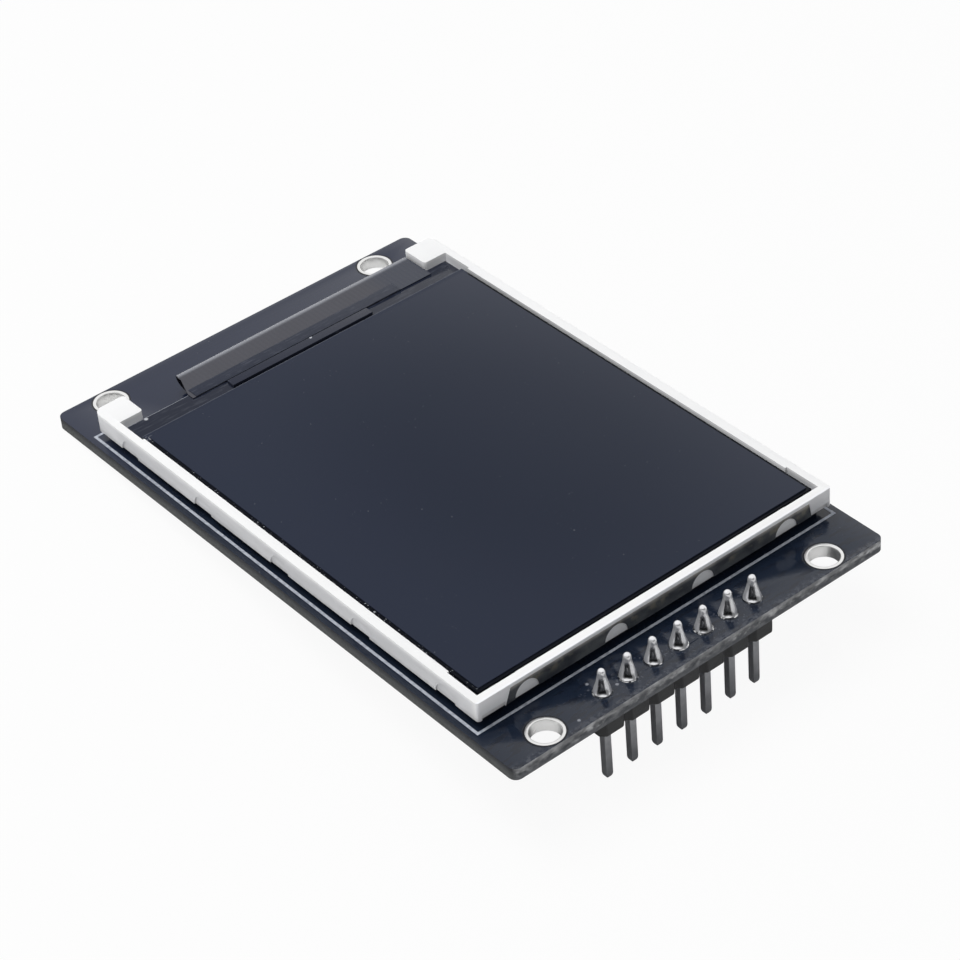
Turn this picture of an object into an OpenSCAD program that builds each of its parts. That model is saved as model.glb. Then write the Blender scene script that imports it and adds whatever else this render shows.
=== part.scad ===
// Small colour TFT display module: a liquid crystal panel in a moulded backlight
// frame, taped to a black circuit board that has a pin header along one short edge.
// Millimetres. The origin is the centre of the four mounting holes on the back
// face of the board. +Z points out of the screen, +Y away from the header.

/* [Display] */
// Width of the display over its frame
display_w = 36; // [32:0.5:44]
// Length of the display over its frame
display_l = 50; // [44:0.5:60]
// Height of the foam tape between board and display
foam_t = 0.9; // [0.5:0.1:1.5]
// Width of the frame's rim along the two long sides
rim_side = 0.87; // [0.8:0.01:0.95]
// Width of the frame's rim at the header end
rim_end = 0.95; // [0.9:0.01:1.1]
// How much narrower the rim is next to its corners
rim_step = 0.18; // [0.1:0.02:0.2]
// Length of the narrow stretches of the rim
rim_step_l = 3.3; // [2:0.1:5]
// Width of the two hooked corners at the ribbon end
hook_w = 3; // [2.6:0.1:3.2]
// Length of the two hooked corners
hook_l = 2.9; // [2.5:0.1:3]
// Distance from the glass to the hooks
hook_clear = 0.4; // [0.2:0.05:0.6]
// Depth of the rim above the front polarizer
rim_lip = 0.09; // [0.02:0.01:0.2]
// Gap between the rim and the glass
glass_gap = 0.18; // [0.1:0.02:0.2]
// Length of the bare ledge of the lower glass
ledge_l = 2.3; // [2:0.1:2.4]
// Distance of the polarizers' edges from the glass edges
polarizer_inset = 0.28; // [0.2:0.02:0.4]

/* [Circuit board] */
// Board that shows beside the display on each long side
board_side = 0.85; // [0.5:0.05:2]
// Board beyond the display at the header end
board_header_end = 5; // [4.9:0.1:8]
// Board beyond the display at the ribbon end
board_ribbon_end = 5; // [4.5:0.1:8]
// Thickness of the board with its copper and solder mask
board_t = 1.1; // [0.8:0.1:1.6]
// Radius of the board's corners
board_corner_r = 0.3; // [0.2:0.1:1.4]
// Sideways distance from the centre of the hole pattern to the centre of board and display
board_shift_x = 0.25; // [0:0.05:0.4]

/* [Mounting holes] */
// Distance from the board's long edges to the hole centres
hole_side = 4.65; // [3:0.05:6]
// Distance from the board's short edges to the hole centres
hole_end = 1.7; // [1.6:0.1:2.2]
// Clear radius inside the plated hole
hole_bore_r = 1.25; // [1.1:0.05:1.3]
// Outer radius of the bare metal ring round each hole
hole_ring_r = 1.55; // [1.45:0.05:1.6]
// Thickness of the copper foil and of each plated wall
foil_t = 0.035; // [0.02:0.005:0.07]

/* [Pin header] */
// Number of contacts
pin_count = 7; // [4:1:8]
// Distance from one contact to the next
pin_pitch = 2.54; // [2.54]
// Width of the square contacts
pin_w = 0.64; // [0.5:0.02:0.64]
// Centre of the contact row across the board
pin_row_x = -0.75; // [-1:0.05:0]
// Distance from the board's header edge to the contact row
pin_end = 2; // [1.8:0.1:2.4]
// Height of the contact tips above the front of the board
pin_above = 2.3; // [1.8:0.1:3]
// Free length of the contacts below the plastic
pin_below = 5.4; // [3:0.1:6]
// Height of the header's plastic
header_h = 2.1; // [1.5:0.1:2.6]
// Cut-off at each corner of a header segment
header_notch = 0.45; // [0.2:0.05:0.6]
// Clear radius of the plated header holes
pin_hole_r = 0.48; // [0.46:0.01:0.52]
// Radius of the header pads
pin_pad_r = 0.8; // [0.8:0.05:1]
// Radius of a solder cone at the board
solder_r = 0.78; // [0.6:0.02:0.78]
// Height of a solder cone above its pad
solder_h = 1.5; // [1:0.1:1.7]

/* [Layers] */
// Reflector sheet
reflector_t = 0.08; // [0.05:0.01:0.1]
// Light guide plate
guide_t = 0.5; // [0.45:0.05:0.6]
// Each diffuser or prism sheet
sheet_t = 0.08; // [0.06:0.01:0.1]
// Black tape round the rim
rim_tape_t = 0.05; // [0.03:0.01:0.08]
// Each polarizer
polarizer_t = 0.12; // [0.1:0.01:0.15]
// Each sheet of glass
glass_t = 0.3; // [0.25:0.05:0.4]
// Printed flexible circuit
flex_t = 0.1; // [0.08:0.01:0.15]
// White print on the board
print_t = 0.02; // [0.01:0.01:0.03]

/* [Ribbon] */
// Width of the ribbon where it bends
ribbon_w = 24.75; // [20:0.25:26]
// Distance of the ribbon's right edge from the hook beside it
ribbon_clear = 0.25; // [0.1:0.05:1]
// Extra width on the left where the ribbon meets the glass
ribbon_flare = 0.75; // [0:0.05:1]
// Distance from the far edge of the glass to the start of the bend
ribbon_reach = 2.5; // [1:0.1:2.6]
// Length of the ribbon that lies back under the display
ribbon_tail = 6.5; // [5:0.5:8]
// Distance from the driver chip to the ribbon on the ledge
bond_gap = 0.25; // [0.1:0.05:0.3]
// Full-width stretch of the ribbon under its bend
tail_shoulder = 1.4; // [0.5:0.1:2]
// Width of the ribbon's soldered tail
tail_w = 10.4; // [9.6:0.1:14]
// Width, as seen along the ribbon's fold, of the black tape over the joint with the glass
ledge_tape_w = 21.75; // [15:0.25:24]
// Reach of that tape across the joint
ledge_tape_l = 1.2; // [0.8:0.1:1.5]
// How far that tape stands out past the ribbon's left edge
ledge_tape_out = 0.4; // [0:0.1:0.7]

/* [Driver chip] */
// Length of the driver chip
chip_l = 14.8; // [12:0.1:18]
// Width of the driver chip
chip_w = 0.9; // [0.7:0.05:1]
// Distance from the upper glass to the driver chip
chip_gap = 0.4; // [0.3:0.05:0.5]

/* [Backlight] */
// Number of lamps
lamp_count = 4; // [2:1:4]
// Distance from the end of the lamp pocket to the centre of the first lamp
lamp_end = 3.15; // [2:0.05:5]
// Length of one lamp
lamp_l = 3; // [2:0.1:3.8]
// Depth of one lamp, from its back to its front
lamp_d = 0.9; // [0.6:0.05:1.2]
// Height of one lamp
lamp_h = 0.62; // [0.5:0.01:0.66]
// Depth of the lamp pocket
lamp_room = 1.3; // [1.2:0.05:1.6]

/* [Moulded marks] */
// Radius of the half-moon marks
moon_r = 1.15; // [0.8:0.05:1.2]
// Depth of the marks in the long walls
moon_depth = 0.12; // [0.05:0.01:0.2]
// Number of marks in each long wall
moon_count = 5; // [3:1:5]
// Distance from the middle of the first and last marks to the frame's ends
moon_end = 4.4; // [3:0.1:6]
// Shift of the row of marks along the wall
moon_shift = -0.6; // [-1:0.1:1]
// Thickness of the black tape on the end wall
end_tape_t = 0.08; // [0.05:0.01:0.1]

/* [Hidden] */
$fn = 48;
lamps = [for (i = [1:lamp_count]) str("lamp_", i)];
pins = [for (i = [1:pin_count]) str("header_pin_", i)];
joints = [for (i = [1:pin_count]) str("solder_joint_", i)];

// small overlap that keeps cuts clear of the faces they cut
cut = 1;

// plan of the board, measured from the centre of the hole pattern
board_w = display_w + 2 * board_side;
board_l = display_l + board_header_end + board_ribbon_end;
hole_spacing_x = board_w - 2 * hole_side;
hole_spacing_y = board_l - 2 * hole_end;
header_edge = -board_l / 2;
pin_row_y = header_edge + pin_end;
display_y = (board_header_end - board_ribbon_end) / 2;

// heights of the layers, each on the one before
frame_z = board_t + foam_t;
guide_z = frame_z + reflector_t;
diffuser_z = guide_z + guide_t;
lower_prism_z = diffuser_z + sheet_t;
upper_prism_z = lower_prism_z + sheet_t;
shelf_z = upper_prism_z + sheet_t;
rear_polarizer_z = shelf_z + rim_tape_t;
lower_glass_z = rear_polarizer_z + polarizer_t;
ledge_z = lower_glass_z + glass_t;
front_polarizer_z = ledge_z + glass_t;
screen_z = front_polarizer_z + polarizer_t;
frame_h = screen_z + rim_lip - frame_z;

// plan of the display, measured from its own centre
near_y = -display_l / 2;
far_y = display_l / 2;
pocket_w = display_w - 2 * rim_side;
pocket_near = near_y + rim_end;
hook_near = far_y - hook_l;
hook_gap_w = display_w - 2 * hook_w;
glass_w = pocket_w - 2 * glass_gap;
glass_near = pocket_near + glass_gap;
glass_far = hook_near - hook_clear;
upper_glass_far = glass_far - ledge_l;
polarizer_w = glass_w - 2 * polarizer_inset;
polarizer_near = glass_near + polarizer_inset;
polarizer_far = upper_glass_far - 2 * polarizer_inset;

// the pocket for the light guide below the glass, and its walls
shelf_w = 0.78;
wall_end = 0.8;
far_wall_under = 1.1;
far_wall_out = 0.3;
slide = 0.05;
reflector_margin = 0.5;
light_w = pocket_w - 2 * shelf_w;
light_near = near_y + wall_end;
light_far = glass_far - far_wall_under;
sheet_w = light_w - 2 * slide;
sheet_far = light_far - slide;
lamp_front = light_near + lamp_room;
lamp_pitch = (light_w - 2 * lamp_end) / (lamp_count - 1);
moon_pitch = (display_l - 2 * moon_end) / (moon_count - 1);

// the black tape on the end wall, in a shallow recess between two corner blocks
end_recess = 0.15;
end_tape_top = 1.45;
block_left_w = 2.65;
block_right_w = 2.35;
end_tape_left = block_left_w - display_w / 2;
end_tape_right = display_w / 2 - block_right_w;
end_tape_slant = 0.55;
corner_foot = 0.4;
block_lift = 0.48;

// the ribbon's path from the ledge round to the pads on the board
ribbon_right = hook_gap_w / 2 - ribbon_clear;
ribbon_left = ribbon_right - ribbon_w;
ribbon_start = upper_glass_far + chip_gap + chip_w + bond_gap;
bend_y = glass_far + ribbon_reach;
ribbon_top = ledge_z + flex_t;
ribbon_bottom = board_t + foil_t;
bend_r = (ribbon_top - ribbon_bottom) / 2;
bend_z = (ribbon_top + ribbon_bottom) / 2;
tail_start = bend_y - tail_shoulder;
pad_count = 12;
pad_pitch = 0.8;
pad_size = [0.45, 1.6];

// foam tape strips
foam_w = 4.6;
foam_inset = 0.8;
foam_end_l = 3.2;
foam_short = 6;
foam_edge = display_w / 2 - foam_inset;
foam_near = near_y + foam_inset + foam_end_l;
foam_far = far_y - foam_short;

function spread(i, count, pitch) = (i - (count + 1) / 2) * pitch;

// Things shared by several pieces

// Puts its children on the display's own centre at height z
module on_display(z) {
    translate([board_shift_x, display_y, z]) children();
}

// Block with its width centred, reaching from y0 to y1 and from z0 up by t
module slab(w, y0, y1, t) {
    translate([-w / 2, y0, 0]) cube([w, y1 - y0, t]);
}

module at_mounting_holes() {
    for (sx = [-1, 1], sy = [-1, 1])
        translate([sx * hole_spacing_x / 2, sy * hole_spacing_y / 2, 0]) children();
}

module at_pin(i) {
    translate([pin_row_x + spread(i, pin_count, pin_pitch), pin_row_y, 0]) children();
}

// What is cut away to round an outside corner whose point is the local origin
module corner_cut(r) {
    difference() {
        translate([-cut, -cut]) square(r + cut);
        translate([r, r]) circle(r);
        translate([r, -2 * cut]) square(r + 3 * cut);
        translate([-2 * cut, r]) square(r + 3 * cut);
    }
}

// Metal lining of a hole through the board, with a flat ring on both faces
module plated_hole(bore_r, ring_r) {
    rotate_extrude() polygon([
        [bore_r, -foil_t],
        [ring_r, -foil_t],
        [ring_r, 0],
        [bore_r + foil_t, 0],
        [bore_r + foil_t, board_t],
        [ring_r, board_t],
        [ring_r, board_t + foil_t],
        [bore_r, board_t + foil_t]
    ]);
}

// Circuit board and what is printed or plated on it

module circuit_board() {
    color("#22252e") difference() {
        translate([board_shift_x, 0, 0]) linear_extrude(board_t) difference() {
            square([board_w, board_l], center = true);
            for (mx = [0, 1], my = [0, 1])
                mirror([mx, 0]) mirror([0, my])
                    translate([-board_w / 2, -board_l / 2]) corner_cut(board_corner_r);
        }
        at_mounting_holes()
            translate([0, 0, -cut]) cylinder(r = hole_bore_r + foil_t, h = board_t + 2 * cut);
        for (i = [1:pin_count]) at_pin(i)
            translate([0, 0, -cut]) cylinder(r = pin_hole_r + foil_t, h = board_t + 2 * cut);
    }
}

module mounting_hole_plating() {
    color("#e4e4e6") at_mounting_holes() plated_hole(hole_bore_r, hole_ring_r);
}

module header_hole_plating() {
    color("#d8d8da") for (i = [1:pin_count]) at_pin(i) plated_hole(pin_hole_r, pin_pad_r);
}

// White line round the place of the display, left open where the ribbon comes down
module outline_print() {
    line_w = 0.24;
    far_return = 3.4;
    gap_side = 0.31;
    gap_end = 0.2;
    outer_w = display_w + 2 * gap_side;
    outer_y = display_l / 2 + gap_end;
    color("#e8eaee") on_display(board_t) difference() {
        slab(outer_w, -outer_y, outer_y, print_t);
        translate([0, 0, -cut])
            slab(outer_w - 2 * line_w, line_w - outer_y, outer_y - line_w, print_t + 2 * cut);
        translate([0, 0, -cut])
            slab(outer_w - 2 * far_return, 0, outer_y + cut, print_t + 2 * cut);
    }
}

// Pin header and its solder

// One break-off segment of the header, seen from above
module header_segment() {
    a = pin_pitch / 2;
    b = a - header_notch;
    polygon([[-a, -b], [-b, -a], [b, -a], [a, -b], [a, b], [b, a], [-b, a], [-a, b]]);
}

module header_body() {
    color("#1b1c20") translate([0, 0, -foil_t - header_h]) difference() {
        for (i = [1:pin_count]) at_pin(i) linear_extrude(header_h) header_segment();
        for (i = [1:pin_count]) at_pin(i)
            translate([0, 0, -cut]) linear_extrude(header_h + 2 * cut) square(pin_w, center = true);
    }
}

// Square contact with its four sides tapered at both ends
module header_pin(i) {
    taper_l = 0.45;
    taper = 0.5;
    low = -foil_t - header_h - pin_below;
    high = board_t + pin_above;
    color("#5a5c60") at_pin(i) {
        translate([0, 0, low + taper_l])
            linear_extrude(high - low - 2 * taper_l) square(pin_w, center = true);
        translate([0, 0, high - taper_l])
            linear_extrude(taper_l, scale = taper) square(pin_w, center = true);
        translate([0, 0, low + taper_l]) mirror([0, 0, 1])
            linear_extrude(taper_l, scale = taper) square(pin_w, center = true);
    }
}

// Solder that fills the plated hole and stands round the contact as a hollow-sided cone
module solder_joint(i) {
    steps = 8;
    crest_r = 0.47;
    hollow = 1.4;
    pad_z = board_t + foil_t;
    flank = [for (k = [0:steps]) let (t = k / steps)
        [crest_r + (solder_r - crest_r) * pow(1 - t, hollow), pad_z + solder_h * t]];
    color("#c9cacc") at_pin(i) difference() {
        rotate_extrude() polygon(concat([[0, 0], [pin_hole_r, 0], [pin_hole_r, pad_z]], flank,
            [[0, pad_z + solder_h]]));
        translate([0, 0, -cut]) linear_extrude(pad_z + solder_h + 2 * cut) square(pin_w, center = true);
    }
}

// Foam tape that holds the display on the board

module foam_strip(x0, x1, y0, y1) {
    color("#141518") on_display(board_t) translate([x0, y0, 0]) cube([x1 - x0, y1 - y0, foam_t]);
}

module foam_tape_left() {
    foam_strip(-foam_edge, foam_w - foam_edge, foam_near, foam_far);
}

module foam_tape_right() {
    foam_strip(foam_edge - foam_w, foam_edge, foam_near, foam_far);
}

module foam_tape_end() {
    foam_strip(-foam_edge, foam_edge, near_y + foam_inset, foam_near);
}

// Moulded frame

// Stretches along the rim's inside where it is narrower
module rim_notches() {
    for (sx = [-1, 1]) {
        translate([sx * (pocket_w / 2 - rim_step_l / 2), pocket_near])
            square([rim_step_l + 2 * rim_step, 2 * rim_step], center = true);
        for (y = [pocket_near + rim_step_l / 2, hook_near - rim_step_l / 2])
            translate([sx * pocket_w / 2, y]) square([2 * rim_step, rim_step_l], center = true);
    }
}

// Outline of the tape on the end wall, seen from the header side
module end_tape_outline() {
    polygon([
        [end_tape_left, 0],
        [end_tape_right + end_tape_slant / 2, 0],
        [end_tape_right, end_tape_top],
        [end_tape_left + end_tape_slant, end_tape_top]
    ]);
}

module backlight_frame() {
    corner_r = 0.25;
    hook_r = 0.8;
    wall_x = display_w / 2;
    rim_z = shelf_z - frame_z;
    color("#f1f2f3") on_display(frame_z) difference() {
        linear_extrude(frame_h) difference() {
            square([display_w, display_l], center = true);
            for (m = [0, 1]) mirror([m, 0]) {
                translate([-wall_x, near_y]) corner_cut(corner_r);
                translate([-wall_x, far_y]) mirror([0, 1]) corner_cut(hook_r);
            }
        }
        // pocket for the glass, open at the ribbon end between the hooks
        translate([0, 0, rim_z]) slab(pocket_w, pocket_near, hook_near, frame_h);
        translate([0, 0, rim_z]) linear_extrude(frame_h) rim_notches();
        translate([0, 0, -cut]) slab(hook_gap_w, glass_far + far_wall_out, far_y + cut, frame_h + 2 * cut);
        translate([0, 0, -cut]) slab(pocket_w, glass_far + far_wall_out, hook_near, frame_h + 2 * cut);
        // pocket for the light guide, and the seat of the reflector
        translate([0, 0, -cut]) slab(light_w, light_near, light_far, frame_h + 2 * cut);
        translate([0, 0, -cut]) slab(light_w + 2 * reflector_margin, light_near - reflector_margin / 2,
            light_far + reflector_margin, reflector_t + cut);
        // recess for the end tape, and the clearance under the two corner blocks
        translate([0, near_y + end_recess, 0]) rotate([90, 0, 0]) linear_extrude(end_recess + cut)
            end_tape_outline();
        for (side = [[corner_foot - wall_x, end_tape_left], [end_tape_right, wall_x - corner_foot]])
            translate([side[0], near_y - cut, -cut])
                cube([side[1] - side[0], end_recess + cut, block_lift + cut]);
        // half-moon marks along the foot of both long walls
        for (sx = [-1, 1], i = [1:moon_count])
            translate([sx * wall_x, spread(i, moon_count, moon_pitch) + moon_shift, 0])
                rotate([0, 90, 0]) cylinder(r = moon_r, h = 2 * moon_depth, center = true);
    }
}

// Black tape on the end wall with half-moon windows at its foot
module end_wall_tape() {
    color("#17191d") on_display(frame_z) translate([0, near_y + end_recess, 0]) rotate([90, 0, 0])
        linear_extrude(end_tape_t) difference() {
            end_tape_outline();
            for (i = [1:lamp_count]) translate([spread(i, lamp_count, lamp_pitch), 0]) circle(moon_r);
        }
}

// Backlight

module reflector_sheet() {
    color("#f4f4f4") on_display(frame_z)
        slab(light_w + 2 * reflector_margin, light_near - reflector_margin / 2,
            light_far + reflector_margin, reflector_t);
}

module light_guide() {
    color("#dfe6ea") on_display(guide_z) slab(sheet_w, lamp_front, sheet_far, guide_t);
}

module diffuser_sheet() {
    color("#eef0f0") on_display(diffuser_z) slab(sheet_w, lamp_front + slide, sheet_far, sheet_t);
}

module lower_prism_sheet() {
    color("#dde2e4") on_display(lower_prism_z) slab(sheet_w, lamp_front + slide, sheet_far, sheet_t);
}

module upper_prism_sheet() {
    color("#dde2e4") on_display(upper_prism_z) slab(sheet_w, lamp_front + slide, sheet_far, sheet_t);
}

// One side-firing lamp on the reflector, with its front against the light guide
module lamp(i) {
    color("#f3efc8") on_display(guide_z)
        translate([spread(i, lamp_count, lamp_pitch) - lamp_l / 2, lamp_front - lamp_d, 0])
            cube([lamp_l, lamp_d, lamp_h]);
}

// Flexible strip over the lamps that feeds them
module lamp_strip() {
    strip_z = guide_z + lamp_h;
    color("#c8a24a") on_display(strip_z)
        slab(sheet_w, light_near + slide, lamp_front, shelf_z - strip_z);
}

// Black ring of tape between the frame's shelf and the panel
module rim_tape() {
    ring_w = 1.05;
    far_w = 1.5;
    color("#101114") on_display(shelf_z) difference() {
        slab(glass_w, glass_near, glass_far, rim_tape_t);
        translate([0, 0, -cut])
            slab(glass_w - 2 * ring_w, lamp_front + ring_w / 2, glass_far - far_w, rim_tape_t + 2 * cut);
    }
}

// Panel

module rear_polarizer() {
    color("#2a2d36") on_display(rear_polarizer_z)
        slab(polarizer_w, polarizer_near, polarizer_far, polarizer_t);
}

// Glass with the transistors, which reaches past the upper glass as a ledge
module lower_glass() {
    color("#3b4048") on_display(lower_glass_z) slab(glass_w, glass_near, glass_far, glass_t);
}

// Glass with the colour filter
module upper_glass() {
    color("#30343d") on_display(ledge_z) slab(glass_w, glass_near, upper_glass_far, glass_t);
}

module front_polarizer() {
    color("#343847") on_display(front_polarizer_z)
        slab(polarizer_w, polarizer_near, polarizer_far, polarizer_t);
}

module driver_chip() {
    chip_y = upper_glass_far + chip_gap;
    color("#2b2d33") on_display(ledge_z) slab(chip_l, chip_y, chip_y + chip_w, glass_t);
}

// Ribbon from the ledge, once round and back under the display to its pads
module display_ribbon() {
    span = ribbon_right - ribbon_left;
    color("#4a464a") on_display(0) {
        translate([0, 0, ledge_z]) linear_extrude(flex_t) polygon([
            [ribbon_left - ribbon_flare, ribbon_start],
            [ribbon_right, ribbon_start],
            [ribbon_right, bend_y],
            [ribbon_left, bend_y],
            [ribbon_left - ribbon_flare, glass_far]
        ]);
        translate([ribbon_left, bend_y, bend_z]) rotate([90, 0, 90]) linear_extrude(span)
            difference() {
                circle(bend_r);
                circle(bend_r - flex_t);
                translate([-2 * bend_r, -2 * bend_r]) square([2 * bend_r, 4 * bend_r]);
            }
        translate([ribbon_left, tail_start, ribbon_bottom]) cube([span, bend_y - tail_start, flex_t]);
        translate([0, 0, ribbon_bottom]) slab(tail_w, bend_y - ribbon_tail, tail_start, flex_t);
    }
}

// Tinned pads on the board under the end of the ribbon
module ribbon_pads() {
    pad_near = bend_y - ribbon_tail + 0.2;
    color("#d6d6d8") on_display(board_t)
        for (i = [1:pad_count])
            translate([spread(i, pad_count, pad_pitch) - pad_size[0] / 2, pad_near, 0])
                cube([pad_size[0], pad_size[1], foil_t]);
}

// Black tape over the joint of glass and ribbon
module ledge_tape() {
    color("#202229") on_display(ribbon_top) translate([ribbon_left - ledge_tape_out, ribbon_start, 0])
        cube([ledge_tape_w, ledge_tape_l, rim_tape_t]);
}

// Parts on the back of the board

chip_part = [1.6, 0.8];
capacitor_h = 0.8;
resistor_h = 0.45;
sot_size = [2.9, 1.3, 1];
sot_span = 2.4;
lead_w = 0.4;
lead_t = 0.12;
lead_pitch = 1.9;
pad_l = 0.9;
first_row_in = 9.5;
second_row_in = 13.6;
first_row = header_edge + first_row_in;
second_row = header_edge + second_row_in;
capacitor_at = [[-13.2, first_row], [-3.4, first_row], [-8.3, second_row]];
resistor_at = [[2, first_row], [11.2, first_row], [6.6, second_row]];
regulator_at = [-8.3, first_row];
transistor_at = [6.6, first_row];

// Pads for a two-ended part at the local origin
module chip_pads() {
    for (sx = [-1, 1])
        translate([sx * (chip_part[0] / 2 - 0.05) - pad_l / 2, -chip_part[1] / 2 - 0.05, -foil_t])
            cube([pad_l, chip_part[1] + 0.1, foil_t]);
}

// Where the three leads of a small transistor outline come down
module at_leads() {
    for (p = [[-lead_pitch / 2, 0], [lead_pitch / 2, 0], [0, 180]])
        rotate([0, 0, p[1]]) translate([p[0], -sot_span / 2, 0]) children();
}

module back_pads() {
    color("#d6d6d8") {
        for (p = concat(capacitor_at, resistor_at)) translate([p[0], p[1], 0]) chip_pads();
        for (p = [regulator_at, transistor_at]) translate([p[0], p[1], -foil_t]) at_leads()
            translate([-0.3, -0.25, 0]) cube([0.6, pad_l, foil_t]);
    }
}

// Two-ended chip part: a block with a metal cap on each end, a little larger than its middle
module chip_block(h) {
    cap_l = 0.35;
    skin = 0.03;
    translate([0, 0, -foil_t - h]) {
        translate([-chip_part[0] / 2 + cap_l, -chip_part[1] / 2 + skin, skin])
            cube([chip_part[0] - 2 * cap_l, chip_part[1] - 2 * skin, h - 2 * skin]);
        for (x = [-chip_part[0] / 2, chip_part[0] / 2 - cap_l])
            translate([x, -chip_part[1] / 2, 0]) cube([cap_l, chip_part[1], h]);
    }
}

module capacitor(i) {
    p = capacitor_at[i - 1];
    color("#b09a78") translate([p[0], p[1], 0]) chip_block(capacitor_h);
}

module resistor(i) {
    p = resistor_at[i - 1];
    color("#1e1f22") translate([p[0], p[1], 0]) chip_block(resistor_h);
}

module sot_body(p) {
    standoff = 0.05;
    color("#1d1e21") translate([p[0] - sot_size[0] / 2, p[1] - sot_size[1] / 2, -foil_t - standoff - sot_size[2]])
        cube(sot_size);
}

// Gull-wing leads from the middle of the body down to the pads
module sot_leads(p) {
    shoulder_z = 0.5;
    foot_l = 0.35;
    reach = (sot_span - sot_size[1]) / 2;
    color("#c4c4c6") translate([p[0], p[1], -foil_t]) at_leads()
        translate([-lead_w / 2, 0, 0]) rotate([90, 0, 90]) linear_extrude(lead_w) polygon([
            [0, 0],
            [foot_l, 0],
            [foot_l, lead_t - shoulder_z],
            [reach, lead_t - shoulder_z],
            [reach, -shoulder_z],
            [foot_l - lead_t, -shoulder_z],
            [foot_l - lead_t, -lead_t],
            [0, -lead_t]
        ]);
}

circuit_board();
mounting_hole_plating();
header_hole_plating();
outline_print();
header_body();
foam_tape_left();
foam_tape_right();
foam_tape_end();
backlight_frame();
reflector_sheet();
light_guide();
diffuser_sheet();
lower_prism_sheet();
upper_prism_sheet();
lamp_strip();
rim_tape();
rear_polarizer();
lower_glass();
upper_glass();
front_polarizer();
driver_chip();
display_ribbon();
ribbon_pads();
ledge_tape();
end_wall_tape();
back_pads();
sot_body(regulator_at);  // regulator_body
sot_leads(regulator_at);  // regulator_leads
sot_body(transistor_at);  // transistor_body
sot_leads(transistor_at);  // transistor_leads
for (i = [1:3]) capacitor(i);
for (i = [1:3]) resistor(i);
for (i = [1:lamp_count]) lamp(i);
for (i = [1:pin_count]) header_pin(i);
for (i = [1:pin_count]) solder_joint(i);
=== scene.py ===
import math
import random

import bmesh
import bpy
from mathutils import Matrix, Vector, noise


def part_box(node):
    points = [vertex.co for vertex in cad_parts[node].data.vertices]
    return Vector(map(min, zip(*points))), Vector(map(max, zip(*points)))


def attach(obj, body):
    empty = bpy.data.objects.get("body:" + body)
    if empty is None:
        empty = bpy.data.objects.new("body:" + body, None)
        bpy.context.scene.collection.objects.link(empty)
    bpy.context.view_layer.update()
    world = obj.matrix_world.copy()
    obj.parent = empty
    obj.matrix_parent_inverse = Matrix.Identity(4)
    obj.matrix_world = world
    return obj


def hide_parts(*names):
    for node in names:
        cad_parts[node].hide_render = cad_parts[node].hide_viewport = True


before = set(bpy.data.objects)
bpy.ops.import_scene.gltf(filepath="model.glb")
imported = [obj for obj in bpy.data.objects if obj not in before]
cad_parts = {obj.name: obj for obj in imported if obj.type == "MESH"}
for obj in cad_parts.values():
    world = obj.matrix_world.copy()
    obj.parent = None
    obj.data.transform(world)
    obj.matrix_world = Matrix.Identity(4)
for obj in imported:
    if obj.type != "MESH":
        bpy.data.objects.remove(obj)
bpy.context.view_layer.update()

# The circuit board. A glass-epoxy laminate with a black solder mask on both faces,
# milled out of a panel, so its edge shows the cut layers of glass cloth.

MM = 0.001


class Wire:
    """A socket in one finish. Sums on it add Math nodes, and node() adds any other."""

    def __init__(self, tree, socket=None):
        self.tree = tree
        self.socket = socket

    def node(self, kind, settings=None, inputs=None, out=0):
        made = self.tree.nodes.new("ShaderNode" + kind)
        for name, value in (settings or {}).items():
            setattr(made, name, value)
        for name, value in (inputs or {}).items():
            if isinstance(value, Wire):
                self.tree.links.new(value.socket, made.inputs[name])
            else:
                made.inputs[name].default_value = value
        return Wire(self.tree, made.outputs[out] if made.outputs else None)

    def sum(self, operation, first, second):
        return self.node("Math", {"operation": operation}, {0: first, 1: second})

    def __add__(self, other):
        return self.sum("ADD", self, other)

    def __radd__(self, other):
        return self.sum("ADD", other, self)

    def __sub__(self, other):
        return self.sum("SUBTRACT", self, other)

    def __rsub__(self, other):
        return self.sum("SUBTRACT", other, self)

    def __mul__(self, other):
        return self.sum("MULTIPLY", self, other)

    def __rmul__(self, other):
        return self.sum("MULTIPLY", other, self)

    def __abs__(self):
        return self.sum("ABSOLUTE", self, 0.0)

    def __pow__(self, other):
        return self.sum("POWER", self, other)


def chart(red, green, blue):
    """The linear colour of a paint chart's 0 to 255 numbers."""
    parts = [c / 255 for c in (red, green, blue)]
    return tuple(p / 12.92 if p < 0.04 else ((p + 0.055) / 1.055) ** 2.4 for p in parts) + (1.0,)


def new_finish(name):
    """An empty finish, and the place on the piece in millimetres to start it from."""
    finish = bpy.data.materials.new(name)
    finish.use_nodes = True
    finish.node_tree.nodes.clear()
    start = Wire(finish.node_tree)
    place = start.node("TexCoord", out="Object")
    return finish, start.node("VectorMath", {"operation": "SCALE"}, {0: place, "Scale": 1000.0})


def axes(place):
    """The three millimetre coordinates of a place."""
    return [place.node("SeparateXYZ", inputs={0: place}, out=k) for k in range(3)]


def stretched(place, x, y, z):
    """The place with its three coordinates scaled, for grain that runs one way."""
    return place.node("VectorMath", {"operation": "MULTIPLY"}, {0: place, 1: (x, y, z)})


def clouds(place, size, detail=3.0):
    """Soft noise from 0 to 1 with patches about size millimetres across."""
    settings = {"Vector": place, "Scale": 1 / size, "Detail": detail, "Roughness": 0.55}
    return place.node("TexNoise", inputs=settings, out="Fac")


def ease(value, low, high):
    """0 where the value is at low, 1 at high, and smooth between."""
    return value.node(
        "MapRange",
        {"interpolation_type": "SMOOTHSTEP"},
        {"Value": value, "From Min": low, "From Max": high},
    )


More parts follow.
